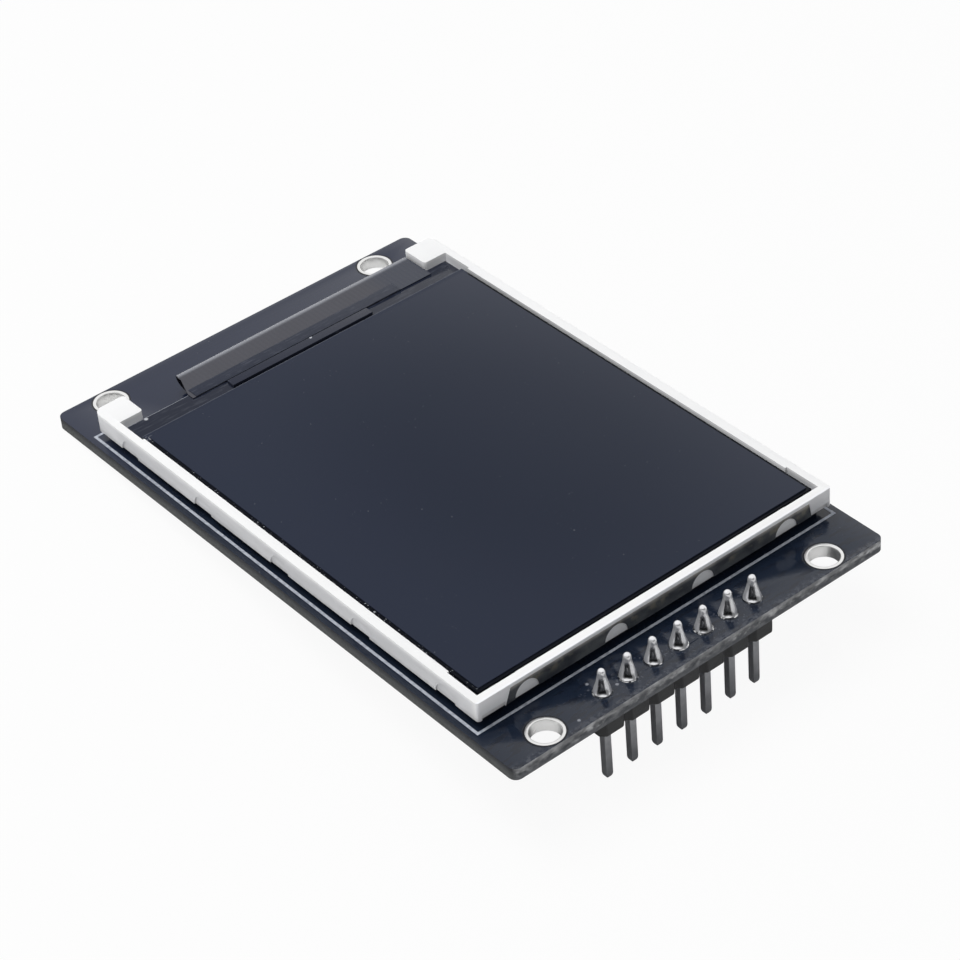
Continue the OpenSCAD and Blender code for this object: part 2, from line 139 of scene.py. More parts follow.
def tint(amount, first, second):
    """The first colour where amount is 0 and the second where it is 1."""
    return amount.node("Mix", {"data_type": "RGBA"}, {0: amount, 6: first, 7: second}, 2)


def relief(height, depth):
    """Surface detail that stands depth millimetres high where height is 1."""
    settings = {"Height": height, "Distance": depth * MM, "Strength": 1.0}
    return height.node("Bump", inputs=settings, out="Normal")


def close(place, sockets):
    """Ends a finish with its surface."""
    surface = place.node("BsdfPrincipled", inputs=sockets)
    place.node("OutputMaterial", inputs={"Surface": surface})


def cad_box(node):
    """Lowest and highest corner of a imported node, in millimetres."""
    low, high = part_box(node)
    return low / MM, high / MM


def place_piece(name, mesh, finishes, nodes):
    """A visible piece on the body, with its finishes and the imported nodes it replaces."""
    piece = bpy.data.objects.new(name, mesh)
    bpy.context.scene.collection.objects.link(piece)
    mesh.materials.clear()
    for finish in finishes:
        mesh.materials.append(finish)
    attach(piece, "root")
    if nodes:
        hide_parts(*nodes)
    return piece


def redrawn(node, name, slot, *finishes):
    """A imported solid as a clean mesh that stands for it, ready to have its edges rounded."""
    work = bmesh.new()
    work.from_mesh(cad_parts[node].data)
    bmesh.ops.scale(work, vec=(1000, 1000, 1000), verts=work.verts)
    bmesh.ops.remove_doubles(work, verts=work.verts, dist=0.002)
    bmesh.ops.dissolve_limit(work, angle_limit=0.01, verts=work.verts, edges=work.edges)
    bmesh.ops.recalc_face_normals(work, faces=work.faces)
    bmesh.ops.scale(work, vec=(MM, MM, MM), verts=work.verts)
    mesh = bpy.data.meshes.new(name)
    work.to_mesh(mesh)
    work.free()
    return place_piece(name, mesh, finishes, [node])


def drawn(name, points, faces, finishes, nodes=()):
    """A piece from its own points, in millimetres."""
    mesh = bpy.data.meshes.new(name)
    mesh.from_pydata([[c * MM for c in p] for p in points], [], faces)
    work = bmesh.new()
    work.from_mesh(mesh)
    bmesh.ops.recalc_face_normals(work, faces=work.faces)
    work.to_mesh(mesh)
    work.free()
    return place_piece(name, mesh, finishes, nodes)


def round_edges(piece, radius, steps=3, angle=35):
    """Rounds every edge sharper than angle, radius in millimetres."""
    piece.data.shade_smooth()
    rounding = piece.modifiers.new("rounded edges", "BEVEL")
    rounding.width = radius * MM
    rounding.segments = steps
    rounding.limit_method = "ANGLE"
    rounding.angle_limit = math.radians(angle)
    rounding.harden_normals = True
    rounding.miter_outer = "MITER_ARC"


board_low, board_high = cad_box("circuit_board")
board_mid_x = (board_low.x + board_high.x) / 2
board_half_x = (board_high.x - board_low.x) / 2
board_top = board_high.z
ring_low, ring_high = cad_box("mounting_hole_plating")
hole_ring_r = 1.55
hole_bore_r = 1.25
ring_reach_y = 1.546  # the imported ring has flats, so it ends just short of its radius here
hole_x = ring_high.x - hole_ring_r
hole_y = ring_high.y - ring_reach_y
pin_boxes = [cad_box(f"header_pin_{i}") for i in range(1, 8)]
pin_x = [(low.x + high.x) / 2 for low, high in pin_boxes]
pin_y = (pin_boxes[0][0].y + pin_boxes[0][1].y) / 2
pin_half = (pin_boxes[0][1].x - pin_boxes[0][0].x) / 2


def hole_distance(place):
    """Distance from the nearest mounting hole's centre."""
    x, y = axes(place)[:2]
    across = abs(x) - hole_x
    along = abs(y) - hole_y
    return (across * across + along * along) ** 0.5


def flecked(colour, x, y, spots, radius, pale):
    """The colour with a small pale fleck at each spot."""
    for spot_x, spot_y in spots:
        away = ((x - spot_x) ** 2.0 + (y - spot_y) ** 2.0) ** 0.5
        colour = tint(ease(away, radius, radius / 2) * 0.8, colour, pale)
    return colour


def joint_distance(x, y):
    """How far x and y lie from the nearest header contact, and the distance."""
    pitch = pin_x[1] - pin_x[0]
    count = (x - pin_x[0]) * (1 / pitch)
    whole = count.node("Math", {"operation": "ROUND"}, {0: count})
    nearest = whole.node("Clamp", inputs={0: whole, 1: 0, 2: len(pin_x) - 1})
    off_x = (count - nearest) * pitch
    off_y = y - pin_y
    return off_x, off_y, (off_x * off_x + off_y * off_y) ** 0.5


mask, place = new_finish("solder_mask_black")
x, y, z = axes(place)
soft = clouds(place, 6.0)
peel = clouds(place, 0.22, 2.0)
weave = place.node(
    "TexVoronoi",
    {"feature": "F1"},
    {"Vector": place, "Scale": 2.1, "Randomness": 0.25},
    "Distance",
)
specks = ease(clouds(place, 0.16, 1.0), 0.77, 0.8) * ease(clouds(place, 3.0), 0.5, 0.62)
from_hole = hole_distance(place)
cleared = ease(from_hole, 1.72, 1.66)
from_joint = joint_distance(x, y)[2]
flux = ease(from_joint, 2.0, 1.0) * ease(clouds(place, 0.3, 3.0), 0.58, 0.7)
scuff = ease(y, board_low.y + 0.9, board_low.y + 0.1)
scuff = scuff * ease(clouds(place, 0.5, 5.0), 0.42, 0.66)
smudge = ease(y, board_low.y + 5.5, board_low.y + 3.5)
smudge = smudge * ease(clouds(stretched(place, 0.5, 2.0, 1.0), 1.0, 3.0), 0.52, 0.6)
front = ease(z, board_top * 0.3, board_top * 0.6)
colour = tint(soft, chart(20, 29, 45), chart(28, 37, 52))
# Painted sheen: the mask is lighter and bluer towards the far end.
colour = tint(ease(y, 12.0, 28.0) * 0.7, colour, chart(34, 41, 64))
colour = tint(front, chart(21, 25, 34), colour)
colour = tint(smudge * 0.5, colour, chart(15, 18, 28))
colour = tint(flux * 0.4, colour, chart(106, 109, 117))
colour = tint(scuff * 0.28, colour, chart(116, 118, 124))
flux_specks = ((-8.65, -26.59), (-11.65, -29.13), (-7.05, -28.14))
colour = flecked(colour, x, y, flux_specks, 0.17, chart(146, 149, 157))
colour = tint(specks * 0.6, colour, chart(150, 150, 156))
colour = tint(cleared, colour, chart(15, 18, 27))
close(
    place,
    {
        "Base Color": colour,
        "Roughness": 0.1 + soft * 0.1 + cleared * 0.3 + specks * 0.3 + scuff * 0.3,
        "IOR": 1.46,
        "Normal": relief(peel * 0.35 + weave * 0.25 - cleared * 3.0, 0.006),
    },
)

laminate, place = new_finish("laminate_edge")
y, z = axes(place)[1:]
fibres = clouds(stretched(place, 1.0, 1.0, 8.0), 1.0, 5.0)
patches = clouds(stretched(place, 0.6, 1.0, 1.2), 1.2, 6.0)
fuzz = clouds(place, 0.12, 2.0)
chips = ease(clouds(stretched(place, 0.6, 1.0, 1.0), 0.5, 5.0), 0.3, 0.7)
milled = ease(y, board_low.y + 0.4, board_low.y + 0.1)
upper = ease(z + chips * 0.5, board_top * 0.55, board_top * 1.1)
worn = ease(patches, 0.42, 0.66) * upper * (0.3 + chips * 0.6)
side_dark = ease(z, board_top * 0.35, board_top)
dull = tint(fibres, chart(52, 54, 56), chart(98, 100, 100))
dull = tint(side_dark * 0.9, dull, chart(26, 28, 36))
cut = tint(chips, chart(60, 62, 67), chart(92, 94, 97))
cut = tint(upper * 0.7, cut, chart(134, 135, 137))
cut = tint(worn * 0.9, cut, chart(212, 213, 215))
close(
    place,
    {
        "Base Color": tint(milled, dull, cut),
        "Roughness": 0.65 + fuzz * 0.25,
        "Normal": relief(fibres + chips + fuzz * 0.6, 0.03),
    },
)

board = redrawn("circuit_board", "board", "solder_mask", mask, laminate)
cad_corner_r = 0.3
worn_corner_r = 0.7
edge_band = 1.05
hole_wall_r = 1.4
for vertex in board.data.vertices:
    spot = vertex.co / MM
    side = math.copysign(1, spot.x - board_mid_x)
    end = math.copysign(1, spot.y)
    out_x = side * (spot.x - board_mid_x) - board_half_x + cad_corner_r
    out_y = end * spot.y - board_high.y + cad_corner_r
    if min(out_x, out_y) > -0.01:
        turn = math.atan2(out_y, out_x)
        out_x = board_half_x - worn_corner_r * (1 - math.cos(turn))
        out_y = board_high.y - worn_corner_r * (1 - math.sin(turn))
        vertex.co.x = (board_mid_x + side * out_x) * MM
        vertex.co.y = end * out_y * MM
for face in board.data.polygons:
    centre = face.center / MM
    on_side = abs(centre.x - board_mid_x) > board_half_x - edge_band
    on_end = abs(centre.y) > board_high.y - edge_band
    from_holes = min(
        math.hypot(abs(v.co.x) / MM - hole_x, abs(v.co.y) / MM - hole_y)
        for v in (board.data.vertices[k] for k in face.vertices)
    )
    if abs(face.normal.z) < 0.5 and (on_side or on_end) and from_holes > hole_wall_r:
        face.material_index = 1
round_edges(board, 0.07)

# Copper tracks under the back's mask. They show only as low, soft-edged ridges, and the
# plated-through vias as small filled dimples.

TRACK_HEIGHT = 0.014


def ridge(path, width, base, up):
    """A soft-edged ridge along a path of points on the board."""
    points = []
    faces = []
    spots = [Vector(spot) for spot in path]
    for k, here in enumerate(spots):
        steps = [b - a for a, b in zip(spots[max(k - 1, 0):k + 1], spots[max(k, 1):k + 2])]
        steps = [step.normalized() for step in steps]
        along = sum(steps, Vector((0, 0))).normalized()
        side = Vector((-along.y, along.x)) / along.dot(steps[0])
        for reach, rise in ((-0.5, 0), (-0.36, 1), (0.36, 1), (0.5, 0)):
            spot = here + side * (width * reach)
            points.append((spot.x, spot.y, base + up * rise * TRACK_HEIGHT))
    for k in range(len(path) - 1):
        for c in range(3):
            a = 4 * k + c
            faces.append((a, a + 1, a + 5, a + 4))
    return points, faces


def dimple(centre, radius, base, up):
    """A filled via: a low ring with a hollow in its middle."""
    points = [(centre[0], centre[1], base + up * TRACK_HEIGHT * 0.3)]
    faces = []
    turns = 20
    for reach, rise in ((0.4, 0.5), (0.65, 1.1), (0.85, 1.0), (1.0, 0.0)):
        for k in range(turns):
            a = 2 * math.pi * k / turns
            points.append(
                (
                    centre[0] + radius * reach * math.cos(a),
                    centre[1] + radius * reach * math.sin(a),
                    base + up * TRACK_HEIGHT * rise,
                )
            )
    for k in range(turns):
        n = (k + 1) % turns
        faces.append((0, 1 + k, 1 + n))
        for r in range(3):
            a = 1 + r * turns
            faces.append((a + k, a + turns + k, a + turns + n, a + n))
    return points, faces


def joined(parts):
    """Several point and face lists as one."""
    points = []
    faces = []
    for more_points, more_faces in parts:
        faces += [tuple(k + len(points) for k in face) for face in more_faces]
        points += more_points
    return points, faces


back = [
    ([(pin_x[0], -27.0), (pin_x[0], -22.2)], 0.5),
    ([(pin_x[1], -27.0), (pin_x[1], -24.3), (-4.9, -23.0), (-4.9, -21.0), (-4.3, -20.5)], 0.4),
    ([(pin_x[2], -27.0), (pin_x[2], -24.9), (-1.2, -22.7), (-1.2, 4.0), (2.6, 7.8)], 0.3),
    ([(pin_x[3], -27.0), (pin_x[3], -23.2), (0.4, -22.1), (0.4, 2.8), (4.6, 7.0)], 0.3),
    ([(pin_x[4], -27.0), (pin_x[4], -20.6)], 0.3),
    ([(pin_x[5], -27.0), (pin_x[5], -23.6), (5.6, -22.3)], 0.3),
    ([(pin_x[6], -27.0), (pin_x[6], -25.6), (12.0, -20.9)], 0.3),
    ([(-13.2, -19.6), (-13.2, -8.0), (-8.0, -2.8), (-8.0, 12.0)], 0.5),
    ([(-7.5, -16.0), (-6.2, -14.7), (-6.2, 13.0)], 0.3),
    ([(6.0, -16.0), (6.0, -8.0), (2.0, -4.0), (2.0, 4.0)], 0.3),
    ([(7.4, -16.0), (9.0, -14.4), (9.0, 12.0), (7.4, 13.6)], 0.3),
    ([(11.9, -20.1), (13.0, -19.0), (13.0, 9.0), (9.2, 12.8)], 0.3),
]
back_vias = [(2.6, 7.8), (4.6, 7.0), (-8.0, 12.0), (-6.2, 13.0), (2.0, 4.0)]
back_vias += [(7.4, 13.6), (9.2, 12.8)]
back_vias += [(px, py) for px in (-16.0, 16.4) for py in (-20, -10, 0, 10, 20)]
parts = [ridge(path, width, board_low.z, -1) for path, width in back]
parts += [dimple(spot, 0.36, board_low.z, -1) for spot in back_vias]
points, faces = joined(parts)
tracks = drawn("tracks_under_mask", points, faces, [mask])
tracks.data.shade_smooth()

# Plated holes. Copper walls and rings with a thin coat of tin, levelled with hot air,
# so the metal is bright and slightly wavy. Flux has dried on the header's pads.


def turned(profile, centre, turns):
    """A closed profile of (radius, height) points turned once round an upright axis."""
    count = len(profile)
    points = []
    faces = []
    for k in range(turns):
        a = 2 * math.pi * k / turns
        for r, h in profile:
            points.append((centre[0] + r * math.cos(a), centre[1] + r * math.sin(a), h))
        n = (k + 1) % turns
        for c in range(count):
            d = (c + 1) % count
            faces.append((k * count + c, n * count + c, n * count + d, k * count + d))
    return points, faces


def plated_profile(bore, ring, low, high, wall):
    """A hole's lining: a ring on each face and rounded corners where they meet the wall."""
    lip = 0.09
    profile = []
    for face, sign in ((low, 1), (high, -1)):
        arc = [(bore + lip * (1 - math.sin(t)), face + sign * lip * (1 - math.cos(t)))
               for t in (k * math.pi / 10 for k in range(6))]
        rim = [(ring, face + sign * wall), (ring - 0.012, face + sign * 0.01), (ring - 0.04, face)]
        side = rim + arc
        profile += side if sign > 0 else side[::-1]
    profile += [(bore + wall, high - wall), (bore + wall, low + wall)]
    return profile


plating, place = new_finish("levelled_tin")
smears = clouds(place, 1.4, 4.0)
waves = clouds(place, 0.5, 1.0)
close(
    place,
    {
        "Base Color": tint(smears, chart(228, 228, 226), chart(248, 248, 248)),
        "Metallic": 1.0,
        "Roughness": 0.22 + smears * 0.16,
        "Normal": relief(waves, 0.007),
    },
)
fluxed, place = new_finish("fluxed_tin")
crust = ease(clouds(place, 0.45, 3.0), 0.38, 0.52)
close(
    place,
    {
        "Base Color": tint(crust, chart(236, 236, 236), chart(62, 64, 70)),
        "Metallic": 1.0,
        "Roughness": 0.25 + crust * 0.3,
        "Normal": relief(crust, 0.01),
    },
)
foil = ring_high.z - board_top
pin_bore_r = 0.48
pin_ring_r = 0.8
points, faces = joined(
    [
        turned(
            plated_profile(hole_bore_r, hole_ring_r, ring_low.z, ring_high.z, foil),
            (sx * hole_x, sy * hole_y),
            96,
        )
        for sx in (-1, 1)
        for sy in (-1, 1)
    ]
)
rings = drawn("hole_plating", points, faces, [plating], ["mounting_hole_plating"])
rings.data.shade_smooth()

points, faces = joined(
    [
        turned(
            plated_profile(pin_bore_r, pin_ring_r, ring_low.z, ring_high.z, foil),
            (px, pin_y),
            48,
        )
        for px in pin_x
    ]
)
header_pads = drawn("header_pads", points, faces, [fluxed], ["header_hole_plating"])
header_pads.data.shade_smooth()

# White print. An outline round the display's place, and plain strokes round the header
# and the parts on the back. Ink laid through a screen, thinner in places and matt.


def refinish(node, finish):
    """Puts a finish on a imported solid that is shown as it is."""
    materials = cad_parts[node].data.materials
    materials.clear()
    materials.append(finish)


ink, place = new_finish("screen_printed_ink")
blot = clouds(place, 0.35, 4.0)
fade = clouds(place, 5.0, 2.0)
colour = tint(ease(blot, 0.3, 0.62), chart(150, 156, 168), chart(190, 195, 205))
colour = tint(ease(fade, 0.62, 0.8) * 0.3, colour, chart(126, 130, 142))
close(
    place,
    {"Base Color": colour, "Roughness": 0.55 + blot * 0.2, "Normal": relief(blot, 0.008)},
)
refinish("outline_print", ink)

stroke_width = 0.16
header_margin = 1.6
left, right = pin_x[0] - header_margin, pin_x[-1] + header_margin
near, far = pin_y - header_margin, pin_y + header_margin
strokes = [
    [(left, near), (right, near)],
    [(right, near), (right, far)],
    [(right, far), (left, far)],
    [(left, far), (left, near)],
    [(left - 0.6, near), (left - 0.6, far)],
]
for node in ("regulator_body", "transistor_body"):
    low, high = cad_box(node)
    for px in (low.x - 0.35, high.x + 0.35):
        strokes.append([(px, low.y), (px, high.y)])
for node in [f"{kind}_{i}" for kind in ("capacitor", "resistor") for i in (1, 2, 3)]:
    low, high = cad_box(node)
    for py in (low.y - 0.5, high.y + 0.5):
        strokes.append([(low.x, py), (high.x, py)])
ink_base = board_low.z - TRACK_HEIGHT
points, faces = joined([ridge(path, stroke_width, ink_base, -1) for path in strokes])
back_print = drawn("back_print", points, faces, [ink])
back_print.data.shade_smooth()

# Header insulator. One strip of glass-filled black plastic, moulded with break-off
# notches between its segments and pressed against the board's back.

insulator, place = new_finish("header_plastic_black")
grit = clouds(place, 0.08, 3.0)
flow = clouds(stretched(place, 1.0, 1.0, 3.0), 1.0, 3.0)
close(
    place,
    {
        "Base Color": tint(flow, chart(16, 17, 19), chart(29, 30, 33)),
        "Roughness": 0.38 + flow * 0.2,
        "Normal": relief(grit + flow, 0.012),
    },
)
header_strip = redrawn("header_body", "header_strip", "header_plastic", insulator)
round_edges(header_strip, 0.16)

# Header contacts. Square drawn brass wire, nickel plated and dull from handling, with
# its ends pressed to a blunt taper.

contact, place = new_finish("contact_plating")
lines = clouds(stretched(place, 9.0, 9.0, 0.6), 0.5, 4.0)
stain = clouds(place, 0.9, 3.0)
close(
    place,
    {
        "Base Color": tint(stain, chart(140, 141, 145), chart(186, 187, 191)),
        "Metallic": 1.0,
        "Roughness": 0.3 + lines * 0.18,
        "Normal": relief(lines, 0.01),
    },
)


def square_ring(centre, half, height):
    """Four corners of a square at one height."""
    return [(centre[0] + sx * half, centre[1] + sy * half, height)
            for sx, sy in ((-1, -1), (1, -1), (1, 1), (-1, 1))]


# how far in from an end, and the width there as a share of the full width
taper = ((0.0, 0.22), (0.05, 0.48), (0.12, 0.68), (0.22, 0.84), (0.34, 0.95), (0.5, 1.0))
hidden_tip = 1.1  # the drawn contact ends this far down, inside its solder joint
for i, (low, high) in enumerate(pin_boxes, 1):
    middle = (pin_x[i - 1], pin_y)
    points = []
    levels = [(low.z + up, half) for up, half in taper]
    levels += [(high.z - hidden_tip - up, half) for up, half in reversed(taper)]
    for level, half in levels:
        points += square_ring(middle, pin_half * half, level)
    faces = [(0, 1, 2, 3), tuple(4 * len(levels) - 1 - k for k in range(4))]
    for k in range(len(levels) - 1):
        for c in range(4):
            d = (c + 1) % 4
            faces.append((4 * k + c, 4 * k + d, 4 * k + 4 + d, 4 * k + 4 + c))
    pin = drawn(f"contact_{i}", points, faces, [contact], [f"header_pin_{i}"])
    round_edges(pin, 0.08, 3, 12)

# Solder joints. Hand-soldered from the front: a hollow-sided cone that climbs each
# contact and closes over its tip as a small bright bead. No two are quite alike.

solder, place = new_finish("solder_bright")
pad_top = ring_high.z
skin = clouds(place, 0.35, 3.0)
frost = clouds(place, 0.09, 2.0)
x, y, z = axes(place)
off_x, off_y, from_joint = joint_distance(x, y)
diagonal = 0.7071
corner = abs(off_y - off_x) * diagonal * (from_joint + 0.001) ** -1.0
# Painted dark reflection on the hollow faces between the joint's two corner ridges.
hollow = ease(corner + skin * 0.2, 0.78, 0.6) * ease(z, pad_top + 0.1, pad_top + 0.3)
hollow = hollow * ease(z, pad_top + 1.6, pad_top + 1.2)
colour = tint(skin, chart(228, 229, 232), chart(250, 250, 252))
close(
    place,
    {
        "Base Color": tint(hollow * 0.9, colour, chart(62, 63, 68)),
        "Metallic": 0.6 + hollow * 0.4,
        "Roughness": 0.08 + skin * 0.12 + hollow * 0.12,
        "Normal": relief(skin + frost * 0.1, 0.006),
    },
)
joint_low = cad_box("solder_joint_1")[0]
turns = 48
for i, px in enumerate(pin_x, 1):
    chance = random.Random(40 + i)
    tip = pin_boxes[i - 1][1].z
    lean = (chance.uniform(-0.04, 0.04), chance.uniform(-0.04, 0.04))
    fat = chance.uniform(0.94, 1.0)
    ridge_turn = math.radians(135 + chance.uniform(-8, 8))
    foot = chance.uniform(0.74, 0.8)
    # height over the pad, radius, and how far the ridges at two of its corners stand out
    stations = [
        (joint_low.z + 0.02 - pad_top, 0.46, 0.0),
        (-0.02, 0.46, 0.0),
        (0.005, foot, 0.0),
        (0.05, foot - 0.03, 0.15),
        (0.18, 0.67, 0.6),
        (0.42, 0.58, 1.0),
        (0.70, 0.50, 1.0),
        (0.98, 0.43, 1.0),
        (1.22, 0.38, 0.9),
        (1.44, 0.345, 0.7),
        (1.64, 0.33, 0.45),
        (1.80, 0.34, 0.2),
        (1.94, 0.335, 0.1),
        (2.06, 0.30, 0.0),
        (2.15, 0.235, 0.0),
        (2.22, 0.14, 0.0),
    ]
    points = []
    for up, radius, stand in stations:
        level = pad_top + up
        climb = max(0.0, (level - pad_top) / (tip - pad_top))
        for k in range(turns):
            a = 2 * math.pi * k / turns
            ridge_near = abs(math.cos(a - ridge_turn))
            r = radius * (1 + stand * (0.2 * ridge_near ** 6 - 0.24 * (1 - ridge_near)))
            if level > pad_top:
                spot = (math.cos(a) * 1.3, math.sin(a) * 1.3, level * 1.1 + 7 * i)
                r *= fat + 0.07 * noise.noise(Vector(spot))
            points.append(
                (
                    px + r * math.cos(a) + lean[0] * climb * 0.3,
                    pin_y + r * math.sin(a) + lean[1] * climb * 0.3,
                    level,
                )
            )
    points.append((px + lean[0] * 0.3, pin_y + lean[1] * 0.3, tip - 0.002))
    faces = [tuple(range(turns))]
    for s in range(len(stations) - 1):
        for k in range(turns):
            n = (k + 1) % turns
            a = s * turns
            faces.append((a + k, a + n, a + turns + n, a + turns + k))
    last = (len(stations) - 1) * turns
    for k in range(turns):
        faces.append((last + k, last + (k + 1) % turns, len(points) - 1))
    joint = drawn(f"solder_{i}", points, faces, [solder], [f"solder_joint_{i}"])
    joint.data.shade_smooth()
    smoothing = joint.modifiers.new("surface tension", "SUBSURF")
    smoothing.levels = 1
    smoothing.render_levels = 1

# Foam tape between board and display. Black closed-cell foam with adhesive on both
# sides, cut in three strips.

foam, place = new_finish("foam_black")
cells = place.node("TexVoronoi", inputs={"Vector": place, "Scale": 7.0}, out="Distance")
close(
    place,
    {
        "Base Color": tint(cells, chart(12, 12, 14), chart(30, 30, 33)),
        "Roughness": 0.85 + cells * 0.1,
        "Normal": relief(cells, 0.06),
    },
)
for node in ("foam_tape_left", "foam_tape_right", "foam_tape_end"):
    foam_strip = redrawn(node, node.replace("tape", "strip"), "black_foam", foam)
    round_edges(foam_strip, 0.08)

# Backlight frame. A thin white moulding with a satin face. Its rim holds the panel and
# two hooks close the ribbon end. The foot of its walls is darker, in patches.

white, place = new_finish("moulded_white")
mottle = clouds(place, 2.5, 4.0)
spark = clouds(place, 0.06, 2.0)
y, z = axes(place)[1:]
frame_low, frame_high = cad_box("backlight_frame")
# Darker towards the foot of the walls, in patches.
foot_darkening = ease(z, frame_low.z + 0.55, frame_low.z)
foot_darkening = foot_darkening * (0.4 + ease(clouds(place, 1.1), 0.35, 0.7) * 0.6)
# Painted shade: the walls are darker just under the rim, except on the near end wall.
shade_under_rim = ease(z, frame_high.z - 0.08, frame_high.z - 0.4)
shade_under_rim = shade_under_rim * ease(y, frame_low.y + 0.1, frame_low.y + 0.9)
# Painted light: the near end wall is made whiter against its shade.
near_end_painted_light = ease(y, frame_low.y + 0.3, frame_low.y + 0.05)
colour = tint(mottle, chart(238, 239, 240), chart(247, 247, 247))
colour = tint(shade_under_rim * 0.6, colour, chart(212, 213, 217))
colour = tint(near_end_painted_light, colour, chart(251, 252, 255))
colour = tint(foot_darkening * 0.5, colour, chart(158, 156, 155))
close(
    place,
    {
        "Base Color": colour,
        "Roughness": 0.42 + mottle * 0.12,
        "Normal": relief(spark * 0.3 + mottle, 0.008),
    },
)
moulding = redrawn("backlight_frame", "moulded_frame", "white_frame", white)
work = bmesh.new()
work.from_mesh(moulding.data)
hook_corners = []
hook_length = 3.0
side_wall = 1.5
frame_half_x = (frame_high.x - frame_low.x) / 2
for edge in work.edges:
    first, second = (v.co / MM for v in edge.verts)
    upright = (first.xy - second.xy).length < 0.01
    inward = abs(first.x - board_mid_x) < frame_half_x - side_wall
    if upright and inward and first.y > frame_high.y - hook_length:
        hook_corners.append(edge)
bmesh.ops.bevel(
    work, geom=hook_corners, offset=0.28 * MM, segments=5, profile=0.5, affect="EDGES"
)
work.to_mesh(moulding.data)
work.free()
round_edges(moulding, 0.07, 3, 40)

# Tape on the end wall. Black light-blocking film with half-moon windows, paler in
# patches along its upper edge where it turns under the rim.

tape, place = new_finish("light_blocking_tape")
z = axes(place)[2]
tape_mottle = ease(clouds(stretched(place, 0.7, 1.0, 1.0), 1.6, 5.0), 0.3, 0.7)
fine = clouds(place, 0.1, 2.0)
tape_low, tape_high = cad_box("end_wall_tape")
upper = ease(z, tape_high.z - 0.5, tape_high.z)
dirt = ease(clouds(place, 0.9, 4.0), 0.5, 0.68) * ease(z, tape_low.z + 0.2, tape_low.z + 0.9)
colour = tint(tape_mottle, chart(44, 49, 57), chart(88, 92, 96))
colour = tint(dirt * 0.6, colour, chart(138, 132, 118))
# Paler in patches towards the upper edge.
colour = tint(upper * (0.4 + tape_mottle * 0.6), colour, chart(186, 184, 179))
close(
    place,
    {
        "Base Color": colour,
        "Roughness": 0.45 + fine * 0.2,
        "Normal": relief(fine + tape_mottle, 0.012),
    },
)
end_tape = redrawn("end_wall_tape", "end_tape", "black_tape", tape)
round_edges(end_tape, 0.02, 2, 40)

# Backlight stack. A white reflector, a clear acrylic light guide, a diffuser and two
# prism films, with side-firing lamps on a brown amber strip at the header end.

reflector, place = new_finish("reflector_film")
haze = clouds(place, 0.8)
close(
    place,
    {
        "Base Color": tint(haze, chart(226, 228, 230), chart(246, 247, 248)),
        "Roughness": 0.18 + haze * 0.1,
        "Normal": relief(haze, 0.004),
    },
)
acrylic, place = new_finish("clear_acrylic_guide")
saw = clouds(stretched(place, 1.0, 1.0, 8.0), 0.4)
close(
    place,
    {
        "Base Color": chart(236, 242, 244),
        "Roughness": 0.08 + saw * 0.12,
        "Transmission Weight": 0.9,
        "IOR": 1.49,
        "Normal": relief(saw, 0.01),
    },
)
film, place = new_finish("prism_film")
ribs = place.node("TexWave", inputs={"Vector": place, "Scale": 6.0}, out="Fac")
close(
    place,
    {
        "Base Color": tint(ribs, chart(206, 212, 216), chart(232, 236, 238)),
        "Roughness": 0.25 + ribs * 0.1,
        "Normal": relief(ribs, 0.01),
    },
)
amber, place = new_finish("amber_strip")
weft = clouds(place, 0.6)
close(
    place,
    {
        "Base Color": tint(weft, chart(100, 70, 32), chart(122, 88, 44)),
        "Roughness": 0.3 + weft * 0.1,
        "Normal": relief(weft, 0.006),
    },
)
lamp_shell, place = new_finish("lamp_shell")
gel = ease(clouds(place, 0.5), 0.3, 0.7)
close(
    place,
    {
        "Base Color": tint(gel, chart(240, 236, 196), chart(246, 244, 226)),
        "Roughness": 0.35 + gel * 0.1,
        "Normal": relief(gel, 0.01),
    },
)
refinish("reflector_sheet", reflector)
refinish("light_guide", acrylic)
for node in ("diffuser_sheet", "lower_prism_sheet", "upper_prism_sheet"):
    refinish(node, film)
refinish("lamp_strip", amber)
for i in (1, 2, 3, 4):
    refinish(f"lamp_{i}", lamp_shell)

# The panel. Two sheets of glass with liquid crystal between them and a polarizer on each
# face. Switched off it is almost black, with a blue-grey gloss from the hard coat.

rim_black, place = new_finish("rim_tape_black")
lint = clouds(place, 0.3)
close(
    place,
    {
        "Base Color": tint(lint, chart(10, 10, 12), chart(22, 22, 25)),
        "Roughness": 0.5 + lint * 0.2,
        "Normal": relief(lint, 0.01),
    },
)
glass, place = new_finish("panel_glass_dark")
x, y = axes(place)[:2]
cloud = clouds(place, 3.0)
ledge_far = cad_box("lower_glass")[1].y
# Painted highlight: a thin pale line along the ledge's far edge, stronger towards the left.
ledge_edge_highlight = ease(y, ledge_far - 0.09, ledge_far - 0.03) * ease(x, 0.0, -8.0)
glue = ease(clouds(stretched(place, 0.35, 2.5, 1.0), 0.5, 4.0), 0.5, 0.68)
colour = tint(cloud, chart(30, 34, 48), chart(36, 41, 55))
colour = tint(glue * 0.3, colour, chart(84, 88, 98))
colour = tint(ledge_edge_highlight, colour, chart(150, 154, 162))
